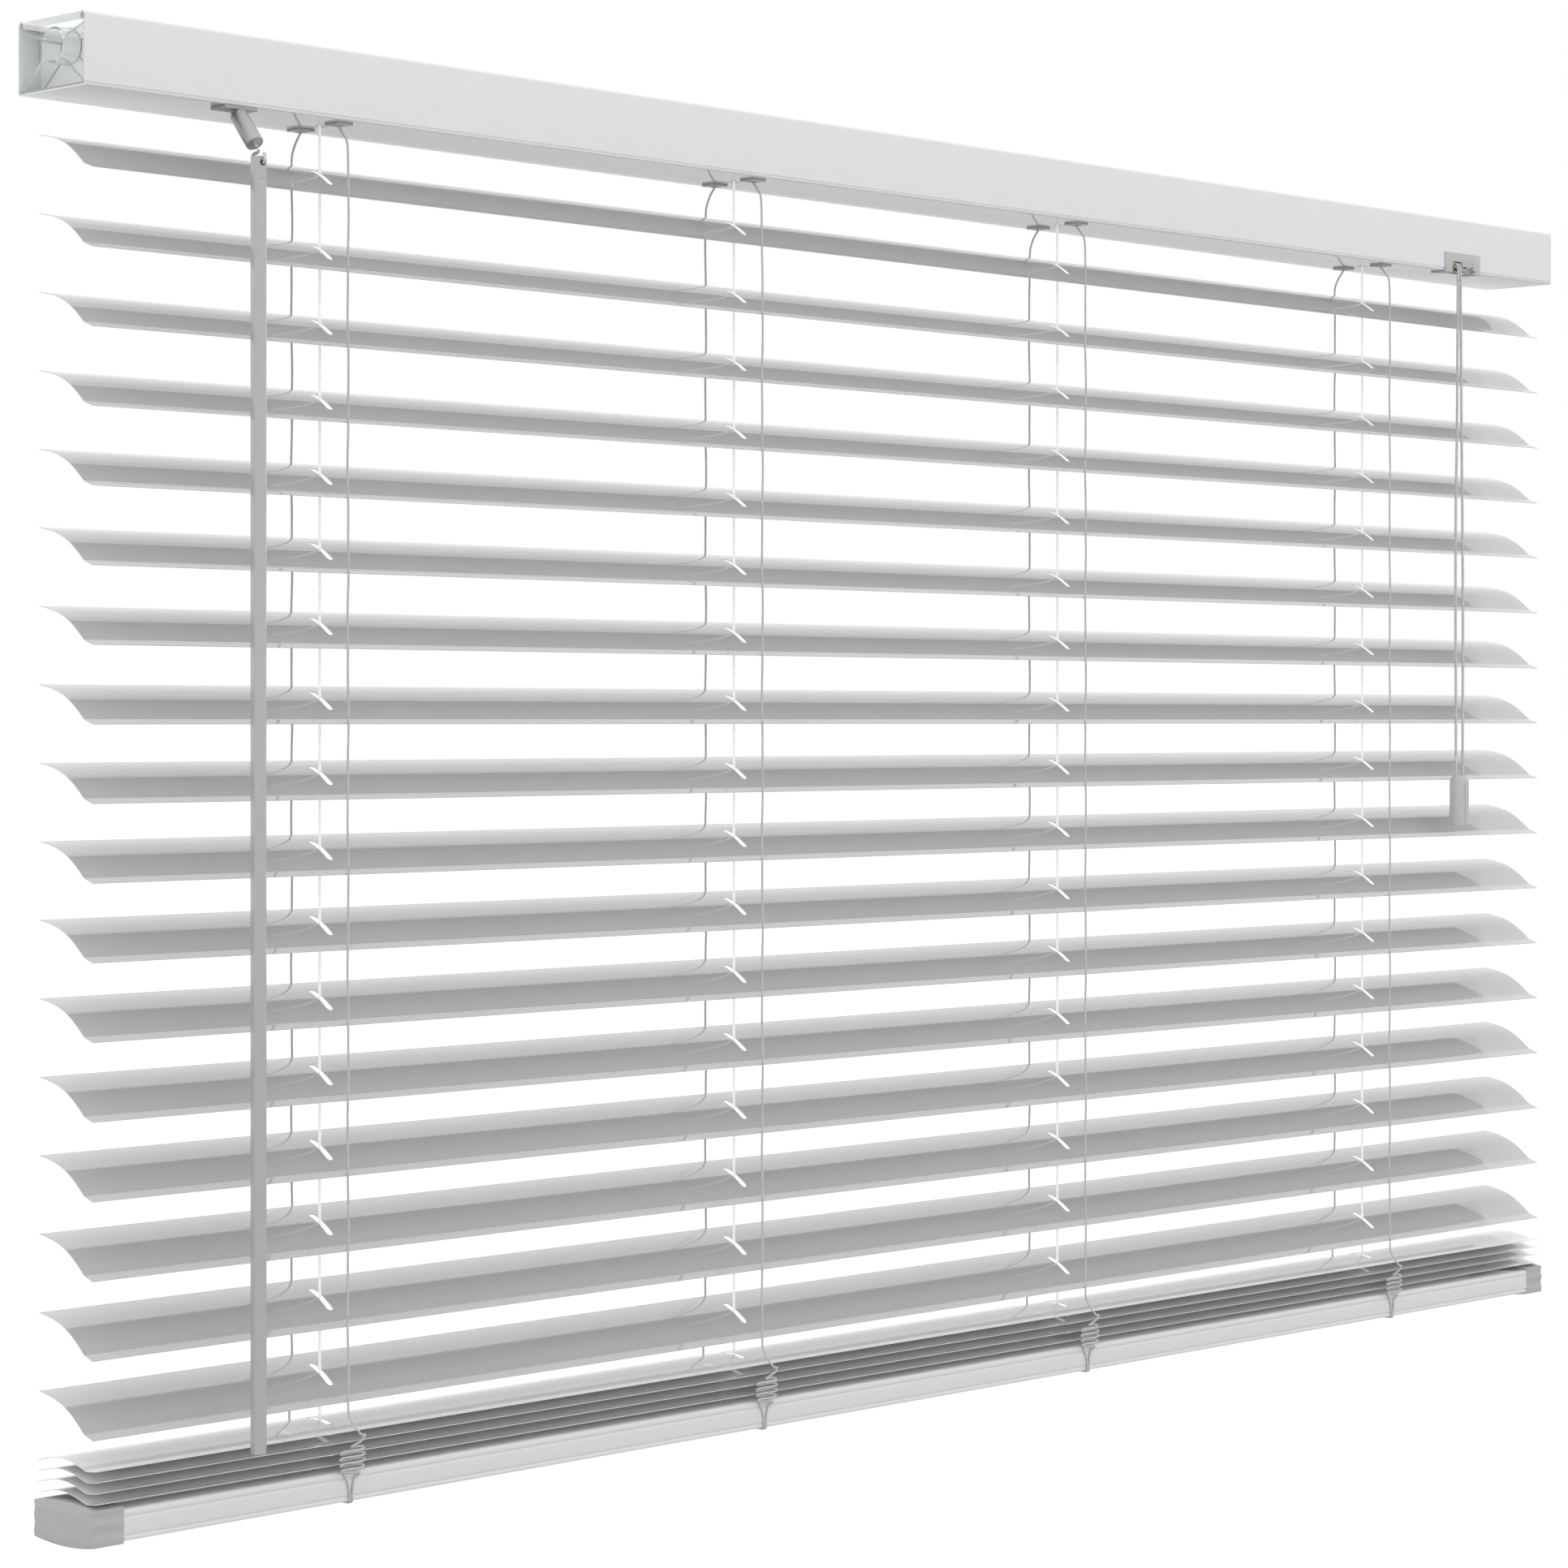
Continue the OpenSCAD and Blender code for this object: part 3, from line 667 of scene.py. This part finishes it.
def make_lift_cords():
    """The white cords down the middle of the blind."""
    top = BOTTOM + 1 * MM
    low = BASE_HIGH.z - 2 * MM
    parts = []
    for x in STATIONS:
        steps = 400
        line = [(x, MID_Y, top + (low - top) * i / steps) for i in range(steps + 1)]
        parts.append(tube(line, LIFT_RADIUS, 10, plies=2, depth=0.25, pitch=5 * MM))
    # Glowing cord material: painted light on the lift cords.
    obj = make_object("lift_cords", parts, LIFT_CORD_GLOWING, 60)
    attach(obj, "frame")
    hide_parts(*[f"lift_bay_{k:02d}" for k in range(2, SLAT_COUNT)])
    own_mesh(obj)


# Each lift cord's lane along the rail: millimetres in Y and in Z
LANES = ((-53.5, -13.5), (-53.5, -10.5), (-50.5, -10.5), (-50.5, -13.5))


def make_rail_cords():
    """The lift cords' way along the rail from the lock to the holes over the slats."""
    parts = []
    for x, (lane_y, lane_z) in zip(STATIONS, LANES):
        y, z = lane_y * MM, lane_z * MM
        line = [(LOCK_LOW.x + 2 * MM, y, z), (x + 16 * MM, y, z), (x + 10.5 * MM, -48 * MM, -14.5 * MM),
                (x + 7 * MM, -40 * MM, -16.3 * MM), (x + 2 * MM, MID_Y - 2.5 * MM, BOTTOM + 2.1 * MM),
                (x, MID_Y, BOTTOM + 0.5 * MM)]
        parts.append(tube([Vector(line[0]), *curved(line[1:], 5)], LIFT_RADIUS, 8))
    # Glowing cord material: painted light on the cords along the rail.
    obj = make_object("rail_cords", parts, LIFT_CORD_GLOWING, 60)
    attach(obj, "frame")
    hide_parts("lift_cords_upper")


# ---- slats ----


def slat_rise(s):
    """Height of the sheet over its chord: a flat lip along the front, then the crown."""
    if s < SLAT_LIP:
        return -SLAT_DIP * s / SLAT_LIP
    t = (s - SLAT_LIP) / (SLAT_CHORD - SLAT_LIP)
    return SLAT_CROWN * math.sin(math.pi * t) - SLAT_DIP * (1 - t)


def slat_mesh():
    """One slat about its own axis: a curled section with a cord slot at each station."""
    steps = 56
    spots = [SLAT_CHORD * i / steps for i in range(steps + 1)]
    line = [(s - SLAT_CHORD / 2, slat_rise(s)) for s in spots]
    outline = sheet_outline(line, SLAT_THICK)
    near = 4 * MM
    places = sorted([SLAT_X0, SLAT_X1] + [x + side * near for x in STATIONS for side in (-1, 1)])
    slat = make_object("slat_form", [prism(outline, places)], SLAT_ENAMEL)
    half_line = (SLOT_LONG - SLOT_WIDE) / 2
    carve(slat, [obround((x, 0), half_line, SLOT_WIDE / 2, -5 * MM, 8 * MM) for x in STATIONS])
    mesh = slat.data
    bpy.data.objects.remove(slat)
    return mesh


def rung_mesh():
    """The thin cord under a slat at each station, from the front ladder cord to the rear one."""
    gap = SLAT_THICK / 2 + 0.35 * MM
    aside = 2.9 * MM
    parts = []
    for x in STATIONS:
        spots = [SLAT_CHORD * i / 16 for i in range(17)]
        line = [(x - aside * math.sin(math.pi * s / SLAT_CHORD) ** 0.5, s - SLAT_CHORD / 2,
                 slat_rise(s) - gap) for s in spots]
        ends = SLAT_CHORD / 2 + 0.3 * MM
        line = [(x, -ends, 0.3 * MM), *line[1:-1], (x, ends, -0.4 * MM)]
        parts.append(tube(line, 0.3 * MM, 6))
    rung = make_object("rung_form", parts, LADDER_CORD, 60)
    mesh = rung.data
    bpy.data.objects.remove(rung)
    return mesh


def make_slats():
    """The open slats with their rungs, then the spare slats stacked on the bottom rail."""
    slat, rungs = slat_mesh(), rung_mesh()
    for k in range(1, SLAT_COUNT + 1):
        place = Matrix.Translation(slat_axis(k)) @ Matrix.Rotation(SLAT_TILT, 4, "X")
        leaf = link(f"slat_leaf_{k:02d}", slat)
        leaf.matrix_world = place
        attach(leaf, slat_body(k))
        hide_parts(slat_body(k))
        rung = link(f"slat_rungs_{k:02d}", rungs)
        rung.matrix_world = place
        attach(rung, slat_body(k))
    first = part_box("stacked_slats")[1].z - SLAT_CROWN - SLAT_THICK / 2
    pile = slat.copy()
    # Painted lighter enamel on the stacked slats, making up for the shade between them.
    pile.materials[0] = STACK_ENAMEL_PAINTED_LIGHTER
    for k in range(STACK_COUNT):
        leaf = link(f"stacked_leaf_{k + 1}", pile)
        leaf.matrix_world = Matrix.Translation((0, MID_Y, first - k * STACK_PITCH))
        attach(leaf, "bottom")
        if k == 0:
            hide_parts("stacked_slats")


# ---- head rail ----

SHEET = 0.8 * MM
HEM_R = 2.1 * MM
HEM_DEPTH = 4 * MM
CORNER_R = 0.9 * MM
GROOVE_DEPTH = 0.6 * MM


def arc(centre, radius, start, end, steps=8):
    """Points on an arc between two angles in degrees."""
    return [(centre[0] + radius * math.cos(math.radians(start + (end - start) * i / steps)),
             centre[1] + radius * math.sin(math.radians(start + (end - start) * i / steps)))
            for i in range(steps + 1)]


def rail_line():
    """The middle of the folded sheet, from the front hem's lip round to the back one's."""
    y0, y1 = RAIL_LOW.y + SHEET / 2, RAIL_HIGH.y - SHEET / 2
    z0, z1 = RAIL_LOW.z + SHEET / 2, RAIL_HIGH.z - SHEET / 2
    hem_z = z1 - HEM_R
    lip = RAIL_HIGH.z - HEM_DEPTH
    line = [(y0 + 2 * HEM_R, lip)] + arc((y0 + HEM_R, hem_z), HEM_R, 0, 180)
    line += arc((y0 + CORNER_R, z0 + CORNER_R), CORNER_R, 180, 270, 6)
    line += arc((y1 - CORNER_R, z0 + CORNER_R), CORNER_R, 270, 360, 6)
    line += arc((y1 - HEM_R, hem_z), HEM_R, 0, 180)
    return line + [(y1 - 2 * HEM_R, lip)]


def make_head_rail():
    """The channel with its bushing, cord, tilter and lock holes, and the groove low along its front."""
    outline = sheet_outline(rail_line(), SHEET)
    rail = make_object("head_rail_channel", [prism(outline, [RAIL_LOW.x, RAIL_HIGH.x])], ENAMEL)
    cuts = []
    floor_low, floor_high = BOTTOM - MM, BOTTOM + 2 * MM
    for x in STATIONS:
        for y in (MID_Y - BUSH_OFFSET, MID_Y + BUSH_OFFSET):
            cuts.append(cuboid((x - BUSH_HALF, y - BUSH_HALF, floor_low),
                               (x + BUSH_HALF, y + BUSH_HALF, floor_high)))
        cuts.append(cuboid((x - 4 * MM, MID_Y - 3 * MM, floor_low),
                           (x + 4 * MM, MID_Y + 3 * MM, floor_high)))
    cuts.append(cuboid((WAND_X - 6 * MM, -55.5 * MM, floor_low), (WAND_X + 6 * MM, -45 * MM, floor_high)))
    for x0, x1 in ((RAIL_LOW.x - MM, LOCK_LOW.x + MM), (LOCK_HIGH.x - MM, RAIL_HIGH.x + MM)):
        cuts.append(cuboid((x0, RAIL_LOW.y - MM, BOTTOM + 1.3 * MM),
                           (x1, RAIL_LOW.y + GROOVE_DEPTH, BOTTOM + 2.1 * MM)))
    cuts.append(cuboid((LOCK_LOW.x + 2 * MM, RAIL_LOW.y - MM, floor_low),
                       (LOCK_HIGH.x - 2 * MM, -46 * MM, LOCK_HIGH.z - 1 * MM)))
    carve(rail, cuts)
    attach(rail, "frame")
    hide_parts("head_rail")


# ---- bottom rail ----


def base_outline():
    """Rounded box section with a pressed line near the top and bottom of the front and back faces."""
    y0, y1, z0, z1 = BASE_LOW.y, BASE_HIGH.y, BASE_LOW.z, BASE_HIGH.z
    dent = 0.7 * MM
    front = []
    for middle in (z0 + 2.6 * MM, z1 - 4.2 * MM):
        front += [(y0, middle - 0.8 * MM), (y0 + dent, middle - 0.1 * MM),
                  (y0 + dent, middle + 0.1 * MM), (y0, middle + 0.8 * MM)]
    back = [(y1 - (y - y0), z) for y, z in front]
    corners = [(y0, z0), *front, (y0, z1 - 1.2 * MM), (y0 + 1.6 * MM, z1), (y1 - 1.6 * MM, z1),
               (y1, z1 - 1.2 * MM), *back[::-1], (y1, z0)]
    return rounded(corners, 0.9 * MM)


def make_bottom_rail():
    """The painted box section between the caps, with a hole down it at each station."""
    reach = CAP_HIGH.x - 0.2 * MM
    rail = make_object("bottom_rail_body", [prism(base_outline(), [reach, -reach])], BASE_ENAMEL, 50)
    carve(rail, [obround((x, MID_Y), 0, 3.6 * MM, BASE_LOW.z - MM, BASE_HIGH.z + MM) for x in STATIONS], 50)
    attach(rail, "bottom")
    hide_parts("bottom_rail")


def cap_outline(shrink=0.0):
    """Crowned top and bottom, with two soft waists in each side."""
    half = (CAP_HIGH.y - CAP_LOW.y) / 2 - 0.4 * MM - shrink
    side_top = CAP_HIGH.z - 2.3 * MM - shrink * 0.5
    side_low = CAP_LOW.z + 2 * MM + shrink * 0.5
    steps = 14
    out = []
    for i in range(steps + 1):
        u = 1 - 2 * i / steps
        out.append((MID_Y + half * u, side_top + 2.3 * MM * (1 - u * u)))
    wave = [(v, 0.4 * MM * math.cos(4.6 * math.pi * v + 0.3)) for v in [i / 16 for i in range(1, 16)]]
    out += [(MID_Y - half - bulge, side_top + (side_low - side_top) * v) for v, bulge in wave]
    for i in range(steps + 1):
        u = 2 * i / steps - 1
        out.append((MID_Y + half * u, side_low - 2 * MM * (1 - u * u)))
    out += [(MID_Y + half + bulge, side_top + (side_low - side_top) * v) for v, bulge in wave[::-1]]
    return out


# How far inward along the rail, then how much smaller, each ring of a cap is: millimetres
CAP_RINGS = ((0, 0.9), (0.15, 0.45), (0.5, 0.12), (1.1, 0), (19.3, 0), (19.8, 0.12), (20, 0.4))


def make_caps():
    """Moulded caps over the rail's ends, with eased rims."""
    for name, end, inward in (("left", CAP_LOW.x, 1), ("right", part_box("bottom_cap_right")[1].x, -1)):
        rings = [[(end + inward * place * MM, y, z) for y, z in cap_outline(shrink * MM)]
                 for place, shrink in CAP_RINGS]
        cap = make_object(f"bottom_cap_{name}_shell", [lofted(rings)], CAP_PLASTIC, 40)
        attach(cap, "bottom")
        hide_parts(f"bottom_cap_{name}")


# ---- clear end caps of the head rail ----


BOSS_CENTRE = (MID_Y, 4.5 * MM)


def make_end_caps():
    """Milky plugs: a rim, a recessed plate, one hollow boss and a rib out to each corner."""
    for name, side in (("left", -1), ("right", 1)):
        low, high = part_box(f"end_cap_{name}")
        outer, inner = (low.x, high.x) if side < 0 else (high.x, low.x)
        plate = inner + side * 1.2 * MM
        ends = sorted((outer - side * 0.8 * MM, plate))
        wall = 1.1 * MM
        hem = 4.5 * MM
        x0, x1 = sorted((outer, plate))
        parts = [cuboid((min(inner, plate), low.y, low.z), (max(inner, plate), high.y, high.z)),
                 cuboid((x0, low.y, low.z), (x1, low.y + wall, high.z)),
                 cuboid((x0, high.y - wall, low.z), (x1, high.y, high.z)),
                 cuboid((x0, low.y + wall, low.z), (x1, high.y - wall, low.z + wall)),
                 cuboid((x0, low.y + hem, RAIL_HIGH.z - MM), (x1, high.y - hem, RAIL_HIGH.z - 0.4 * MM)),
                 boss(BOSS_CENTRE, 9.3 * MM, 8.0 * MM, *ends)]
        for y in (low.y + 1.2 * MM, high.y - 1.2 * MM):
            for z in (low.z + 1.2 * MM, high.z - 1.8 * MM):
                parts.append(rib((y, z), BOSS_CENTRE, 9.2 * MM, *ends))
        # Faintly glowing plastic: painted light inside the deep plug.
        cap = make_object(f"end_cap_{name}_clear", parts, CLEAR_PLASTIC_GLOWING, 30)
        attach(cap, "frame")
        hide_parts(f"end_cap_{name}")


def rib(corner, hub, radius, x0, x1):
    """A thin wall along X from a corner of the plug to a boss."""
    start, centre = Vector(corner), Vector(hub)
    along = (centre - start).normalized()
    end = centre - along * radius
    half = Vector((-along.y, along.x)) * 0.6 * MM
    ring = [start - half, start + half, end + half, end - half]
    return lofted([[(x, p.x, p.y) for p in ring] for x in (x0, x1)])


def boss(centre, radius, bore, x0, x1, sides=32):
    """A short tube along X."""
    rings = []
    for x, r in ((x0, bore), (x0, radius), (x1, radius), (x1, bore)):
        rings.append([(x, centre[0] + r * math.cos(2 * math.pi * j / sides),
                       centre[1] + r * math.sin(2 * math.pi * j / sides)) for j in range(sides)])
    points = [p for ring in rings for p in ring]
    faces = [[i * sides + j, i * sides + (j + 1) % sides, (i + 1) % 4 * sides + (j + 1) % sides,
              (i + 1) % 4 * sides + j] for i in range(4) for j in range(sides)]
    return points, faces


# ---- tilter, wand and cord lock ----


def make_hook():
    """Smooth nickel wire from the eye down behind the bar, through its hole and up in front."""
    low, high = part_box("wand_hook")
    reach = (high.y - low.y) / 2 - 0.9 * MM
    eye_z = high.z - 1.0 * MM
    arm = eye_z - 1.8 * MM
    hole = low.z + 0.9 * MM
    line = curved([(0, 0, eye_z), (0, 0.8 * MM, arm + 0.5 * MM), (0, reach - 1.2 * MM, arm),
                   (0, reach, arm - 1.3 * MM), (0, reach, hole + 1.4 * MM), (0, reach - 1.3 * MM, hole),
                   (0, 0, hole), (0, 1.3 * MM - reach, hole), (0, -reach, hole + 1.4 * MM),
                   (0, -reach, arm - 1.3 * MM), (0, -reach + 0.5 * MM, arm - 0.2 * MM)], 6)
    line = [(WAND_X, WAND_Y + p.y, p.z) for p in line]
    hook = make_object("wand_hook_wire", [tube(line, 0.85 * MM, 12)], NICKEL, 60)
    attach(hook, "wand_link")
    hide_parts("wand_hook")


def make_wand():
    """The clear wand, with a small dark mark across its front just below the top."""
    softened("wand", WAND_PLASTIC, 0.25 * MM, 2)
    pin = cuboid((-1.6 * MM, -3.54 * MM, -0.25 * MM), (1.6 * MM, -3.3 * MM, 0.25 * MM))
    mark = make_object("wand_mark", [pin], TILTER_PLASTIC)
    place = Matrix.Translation((WAND_X, WAND_Y, WAND_HIGH.z - 11.5 * MM))
    mark.matrix_world = place @ Matrix.Rotation(math.radians(-12), 4, "Z")
    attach(mark, "wand")


def ridged(x0, x1, centre, radius, ridges, depth, sides=60):
    """A bar along X with ridges along it."""
    rings = []
    for x, shrink in ((x0, 0.3 * MM), (x0 + 0.3 * MM, 0), (x1 - 0.3 * MM, 0), (x1, 0.3 * MM)):
        ring = []
        for j in range(sides):
            a = 2 * math.pi * j / sides
            r = radius - shrink - depth * (0.5 + 0.5 * math.cos(ridges * a))
            ring.append((x, centre[0] + r * math.cos(a), centre[1] + r * math.sin(a)))
        rings.append(ring)
    return lofted(rings)


# Bends of the spring wires, in millimetres: right of the window's left edge, then above the
# rail's underside
WIRE_PATHS = (((0.5, 3.3), (1.7, 2.9), (2.9, 2.6)), ((9.2, 1.6), (11.5, 1.2), (13.8, 1.5)),
              ((0.9, -0.3), (1.9, -0.6), (2.9, -0.9)), ((9.2, -1.3), (10.8, -1.5), (12.4, -1.4)))
SPRING_PATHS = (((13.8, 1.5), (16, 2.8), (18.8, 3.4), (21.4, 2.4), (24, 2.2), (26.4, 0.8)),
                ((10, 0.2), (12.4, 0.1), (15, 1.0), (17.4, 0.9), (19.6, -0.6), (21.2, -1.2)))


def make_lock_details():
    """The roller's smooth brass part under the cords and ridged steel part, flat tabs and spring wires."""
    r = (ROLLER_HIGH.z - ROLLER_LOW.z) / 2
    x0, x1 = ROLLER_LOW.x, ROLLER_HIGH.x
    split = x0 + 0.36 * (x1 - x0)
    centre = (ROLLER_Y, ROLLER_Z)
    smooth = make_object("lock_roller_brass", [ridged(x0, split, centre, r, 0, 0)], BRASS, 30)
    rough = make_object("lock_roller_steel", [ridged(split, x1, centre, r, 7, 0.7 * MM)], STEEL, 30)
    for part in (smooth, rough):
        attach(part, "roller")
    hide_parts("lock_roller")
    left = LOCK_X - 12.5 * MM
    brass_spans = ((left + 0.2 * MM, PULL_X - 3 * MM), (PULL_X + 3 * MM, PULL_X + 5.6 * MM))
    steel_spans = ((PULL_X + 5.8 * MM, left + 24.6 * MM),)
    tabs = (("lock_tabs_brass", BRASS, brass_spans), ("lock_tab_steel", STEEL, steel_spans))
    for name, finish, spans in tabs:
        parts = [cuboid((a, ROLLER_Y - 2.7 * MM, BOTTOM + 4.0 * MM),
                        (b, ROLLER_Y - 2.2 * MM, BOTTOM + 7.6 * MM)) for a, b in spans]
        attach(make_object(name, parts, finish), "frame")
    y = ROLLER_Y - r - 0.7 * MM
    for name, paths, finish in (("lock_wires", WIRE_PATHS, NICKEL), ("lock_springs", SPRING_PATHS, STEEL)):
        lines = [[(left + dx * MM, y, BOTTOM + dz * MM) for dx, dz in path] for path in paths]
        wires = [tube(curved(line, 6), 0.55 * MM, 8) for line in lines]
        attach(make_object(name, wires, finish, 60), "frame")


# ---- stage and light ----

FLOOR_DROP = 1.4
FLOOR_HALF = 400
SUN_ENERGY = 0.95
SUN_ANGLE = math.radians(1.5)
SUN_FROM = Vector((1.05, 0.49, 1.0))
SKY_LOW = 0.62


def make_stage():
    """A pale floor well below the blind, white surroundings, and a weak sun from above, right and behind."""
    z = CAD_BOX[0][2] - FLOOR_DROP
    corners = [(FLOOR_HALF * x, FLOOR_HALF * y, z) for x, y in ((-1, -1), (1, -1), (1, 1), (-1, 1))]
    paint = material("floor_paint", (0.93, 0.93, 0.93), 0.9, shade=0.004)
    floor = make_object("floor", [(corners, [[0, 1, 2, 3]])], paint)
    floor.visible_diffuse = False
    floor.visible_glossy = False
    make_world()
    sun = bpy.data.lights.new("sun", "SUN")
    sun.energy = SUN_ENERGY
    sun.angle = SUN_ANGLE
    lamp = bpy.data.objects.new("sun", sun)
    lamp.visible_glossy = False
    lamp.rotation_euler = SUN_FROM.to_track_quat("Z", "Y").to_euler()
    bpy.context.scene.collection.objects.link(lamp)
    bpy.context.scene.view_settings.view_transform = "Standard"


def make_world():
    """White above and at eye level, greyer from below."""
    world = bpy.data.worlds.new("studio")
    world.use_nodes = True
    nodes, links = world.node_tree.nodes, world.node_tree.links
    place = nodes.new("ShaderNodeTexCoord")
    axes = nodes.new("ShaderNodeSeparateXYZ")
    fall = nodes.new("ShaderNodeMapRange")
    fall.inputs["From Min"].default_value = -0.3
    fall.inputs["From Max"].default_value = -0.02
    fall.inputs["To Min"].default_value = SKY_LOW
    fall.inputs["To Max"].default_value = 1.0
    links.new(place.outputs["Generated"], axes.inputs["Vector"])
    links.new(axes.outputs["Z"], fall.inputs["Value"])
    links.new(fall.outputs["Result"], nodes["Background"].inputs["Strength"])
    nodes["Background"].inputs["Color"].default_value = (1, 1, 1, 1)
    bpy.context.scene.world = world


CAD_FINISHES = {
    "tilt_rod": STEEL, "worm_wheel": GEAR_PLASTIC, "worm_stem": TILTER_PLASTIC, "lock_pawl": STEEL,
}
SOFTENED = (
    ("cord_bushings", BUSHING_PLASTIC, 0.25), ("drum_cradles", WHITE_PLASTIC, 0.3),
    ("ladder_drums", WHITE_PLASTIC, 0.25), ("tilter_housing", TILTER_PLASTIC, 0.25),
    ("cord_lock_body", LOCK_PLASTIC, 0.3), ("wand_sleeve", SLEEVE_METAL, 0.35),
    ("bottom_plugs", WHITE_PLASTIC, 0.4),
)

make_camera()
make_pull_cords()
make_ladders()
make_ladder_tops()
make_tails()
make_lift_cords()
make_rail_cords()
make_slats()
make_head_rail()
make_bottom_rail()
make_caps()
make_end_caps()
make_hook()
make_wand()
make_lock_details()
for cad_node, finish, ease in SOFTENED:
    softened(cad_node, finish, ease * MM)
for cad_node, finish in CAD_FINISHES.items():
    mesh = frame["nodes"][cad_node].data
    mesh.materials.clear()
    mesh.materials.append(finish)
make_stage()
